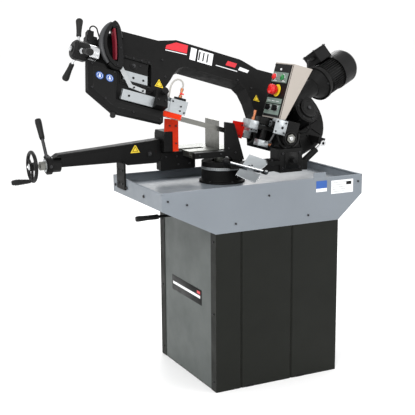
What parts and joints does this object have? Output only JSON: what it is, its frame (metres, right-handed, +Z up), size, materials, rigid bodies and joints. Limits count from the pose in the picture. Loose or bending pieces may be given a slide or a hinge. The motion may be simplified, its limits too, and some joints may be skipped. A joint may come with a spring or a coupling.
{
  "type": "metal-cutting band saw",
  "caption": "Horizontal metal-cutting band saw: pivoting bow with band wheels, guides and motor, swivelling column, screw vise, chip tray and sheet-metal cabinet stand.",
  "frame": {"origin": "on the floor under the middle of the cabinet", "axes": "+X towards the motor end, +Y away from the operator, +Z up"},
  "size_m": [1.629, 0.5427, 1.5069],
  "materials": {
    "cabinet_black": "satin textured paint",
    "cabinet_grey": "satin paint",
    "tray_grey": "satin paint",
    "cast_black": "textured charcoal paint over casting",
    "steel": "ground",
    "bright_steel": "polished",
    "aluminium": "machined",
    "cast_iron": "machined",
    "plastic_black": "matte",
    "guard_orange": "satin paint",
    "guard_red": "satin paint",
    "box_beige": "matte",
    "button_green": "gloss",
    "button_red": "gloss",
    "tank_grey": "matte"
  },
  "bodies": {
    "stand": {"cabinet_side_near": "cabinet_black", "cabinet_side_far": "cabinet_black", "cabinet_front_panel": "cabinet_grey", "cabinet_back_panel": "cabinet_black", "cabinet_floor": "cabinet_black", "chip_tray": "tray_grey", "coolant_tank": "tank_grey", "coolant_pump": "plastic_black", "swivel_drum": "cast_black", "bed_table": "cast_iron", "fixed_jaw_near": "cast_black", "fixed_jaw_far": "steel", "vise_beam": "cast_black", "vise_support_bar": "cast_black", "vise_guide_block": "cast_black", "vise_nose_hub": "cast_black"},
    "bed_lock": {"bed_lock_lever": "plastic_black"},
    "vise_crank": {"vise_screw": "steel", "vise_handwheel": "cast_black"},
    "crank_handle": {"crank_grip": "plastic_black"},
    "vise_lock": {"vise_lock_lever": "cast_black"},
    "jaw": {"movable_jaw": "cast_black", "jaw_guard": "guard_orange"},
    "head": {"swivel_arm": "cast_black", "pivot_column": "cast_black", "chip_deflector": "aluminium"},
    "swivel_lock": {"swivel_lock_lever": "plastic_black"},
    "bow": {"bow_casting": "cast_black", "bow_back_cover": "cast_black", "pivot_shaft": "steel", "blade": "steel", "head_guard": "cast_black", "guide_clamp": "cast_black", "right_guide_head": "aluminium", "right_guard": "guard_red", "gearbox": "cast_black", "motor_body": "cast_black", "fan_cowl": "plastic_black", "terminal_box": "plastic_black", "control_box": "box_beige", "control_panel": "plastic_black", "handle_grip": "plastic_black", "handle_bracket": "steel", "tension_switch": "plastic_black"},
    "guide": {"guide_arm": "aluminium", "left_guide_head": "aluminium", "left_blade_cover": "guard_orange"},
    "tension_block": {"tension_slide": "cast_iron"},
    "idle": {"idle_wheel": "cast_iron"},
    "drive": {"drive_wheel": "cast_iron"},
    "tension_knob_body": {"tension_knob": "plastic_black"},
    "fan": {"motor_fan": "plastic_black"},
    "start_button": {"start_button": "button_green"},
    "stop_button": {"stop_button": "button_red"},
    "emergency_stop": {"emergency_stop": "button_red"},
    "selector_left": {"selector_left": "plastic_black"},
    "selector_right": {"selector_right": "plastic_black"},
    "trigger": {"trigger": "button_red"},
    "feed_barrel": {"feed_cylinder_barrel": "cast_black"},
    "feed_rod": {"feed_cylinder_rod": "bright_steel"}
  },
  "joints": [
    {"name": "head_swivel", "type": "hinge", "parent": "stand", "child": "head", "pos_m": [-0.099, 0.04, 0.8885], "axis": [0, 0, 1], "range_deg": [0, 60]},
    {"name": "bow_pivot", "type": "hinge", "parent": "head", "child": "bow", "pos_m": [0.15, 0.04, 0.9985], "axis": [0, 1, 0], "range_deg": [-17.5, 9]},
    {"name": "handwheel_turn", "type": "hinge", "parent": "stand", "child": "vise_crank", "pos_m": [-0.899, 0.143, 0.926], "axis": [1, 0, 0], "range_deg": [-170, 14700]},
    {"name": "jaw_slide", "type": "slide", "parent": "stand", "child": "jaw", "axis": [1, 0, 0], "range_m": [-0.002, 0.165]},
    {"name": "crank_grip_spin", "type": "hinge", "parent": "vise_crank", "child": "crank_handle", "pos_m": [-0.9085, 0.143, 0.868], "axis": [1, 0, 0], "continuous": true},
    {"name": "vise_lock", "type": "hinge", "parent": "stand", "child": "vise_lock", "pos_m": [-0.831, 0.143, 0.926], "axis": [1, 0, 0], "range_deg": [-20, 55]},
    {"name": "bed_lock", "type": "hinge", "parent": "stand", "child": "bed_lock", "pos_m": [-0.099, 0.04, 0.69], "axis": [0, 0, 1], "range_deg": [-15, 15]},
    {"name": "swivel_lock", "type": "hinge", "parent": "head", "child": "swivel_lock", "pos_m": [0.026, -0.112, 0.868], "axis": [0, 1, 0], "range_deg": [-5, 40]},
    {"name": "guide_arm_slide", "type": "slide", "parent": "bow", "child": "guide", "axis": [0.9588, 0, -0.284], "range_m": [0, 0.12]},
    {"name": "tension_turn", "type": "hinge", "parent": "bow", "child": "tension_knob_body", "pos_m": [-0.70666, 0.09565, 1.38095], "axis": [0.9588, 0, -0.284], "range_deg": [0, 1080]},
    {"name": "tension_slide_move", "type": "slide", "parent": "bow", "child": "tension_block", "axis": [0.9588, 0, -0.284], "range_m": [0, 0.0061]},
    {"name": "drive_wheel_spin", "type": "hinge", "parent": "bow", "child": "drive", "pos_m": [0.27559, 0.105, 1.04221], "axis": [0.142, -0.866, 0.4794], "continuous": true},
    {"name": "idle_wheel_spin", "type": "hinge", "parent": "tension_block", "child": "idle", "pos_m": [-0.49914, 0.105, 1.2717], "axis": [0.142, -0.866, 0.4794], "continuous": true},
    {"name": "motor_spin", "type": "hinge", "parent": "bow", "child": "fan", "pos_m": [0.4492, 0.1144, 1.21636], "axis": [0.885, 0.328, 0.3304], "continuous": true},
    {"name": "stop_button_press", "type": "slide", "parent": "bow", "child": "stop_button", "axis": [0.9588, 0, -0.284], "range_m": [0, 0.003], "stiffness_N_per_m": 250},
    {"name": "start_button_press", "type": "slide", "parent": "bow", "child": "start_button", "axis": [0.9588, 0, -0.284], "range_m": [0, 0.003], "stiffness_N_per_m": 250},
    {"name": "emergency_stop_press", "type": "slide", "parent": "bow", "child": "emergency_stop", "axis": [0.9588, 0, -0.284], "range_m": [0, 0.004]},
    {"name": "selector_left_turn", "type": "hinge", "parent": "bow", "child": "selector_left", "pos_m": [0.10876, -0.002, 1.12335], "axis": [0.9588, 0, -0.284], "range_deg": [-45, 45]},
    {"name": "selector_right_turn", "type": "hinge", "parent": "bow", "child": "selector_right", "pos_m": [0.10876, -0.06, 1.12335], "axis": [0.9588, 0, -0.284], "range_deg": [-45, 45]},
    {"name": "trigger_pull", "type": "hinge", "parent": "bow", "child": "trigger", "pos_m": [-0.57158, 0.05038, 1.3405], "axis": [0.142, -0.866, 0.4794], "range_deg": [-2.2, 0], "stiffness_Nm_per_rad": 6},
    {"name": "feed_cylinder_swing", "type": "hinge", "parent": "head", "child": "feed_barrel", "pos_m": [0.2275, -0.06, 0.8727], "axis": [0, 1, 0], "range_deg": [-15.03, 7.87]},
    {"name": "feed_rod_slide", "type": "slide", "parent": "feed_barrel", "child": "feed_rod", "axis": [0.7967, 0, 0.6044], "range_m": [-0.02337, 0.04487]}
  ],
  "couplings": [
    {"joint": "jaw_slide", "follows": "handwheel_turn", "m_per_rad": 0.0006366},
    {"joint": "tension_slide_move", "follows": "tension_turn", "m_per_rad": 0.0003183},
    {"joint": "idle_wheel_spin", "follows": "drive_wheel_spin", "ratio": 1},
    {"joint": "motor_spin", "follows": "drive_wheel_spin", "ratio": 40},
    {"joint": "feed_cylinder_swing", "follows": "bow_pivot", "ratio": 0.84149},
    {"joint": "feed_rod_slide", "follows": "bow_pivot", "m_per_rad": -0.14494}
  ]
}
